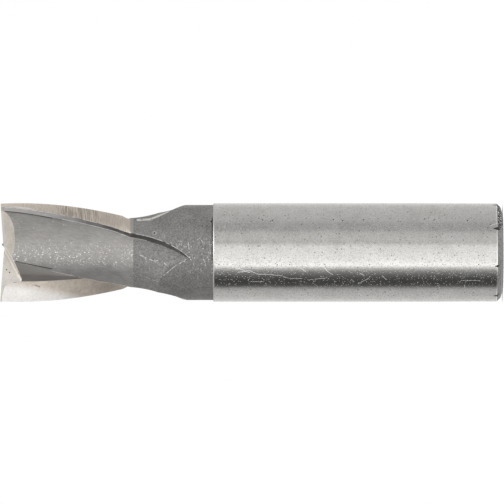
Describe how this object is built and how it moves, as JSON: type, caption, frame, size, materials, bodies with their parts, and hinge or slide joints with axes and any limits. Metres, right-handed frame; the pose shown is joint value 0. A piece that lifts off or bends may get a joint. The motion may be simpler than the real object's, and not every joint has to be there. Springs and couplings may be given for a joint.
{
  "type": "keyway cutter",
  "caption": "Solid keyway cutter with helical flutes, relief-ground lands, centre-cutting end teeth and a plain round shank, for milling slots and keyways.",
  "frame": {"origin": "centre of the shank's end face, which it stands on", "axes": "+Z along the tool's axis, from the shank's end face to the cutting tip; +X runs nearly through the first tooth's cutting corner at the tip"},
  "size_m": [0.016, 0.016, 0.0814],
  "materials": {
    "tool_steel": "ground and turned tool steel"
  },
  "bodies": {
    "root": {"keyway_cutter": "tool_steel"}
  },
  "joints": []
}
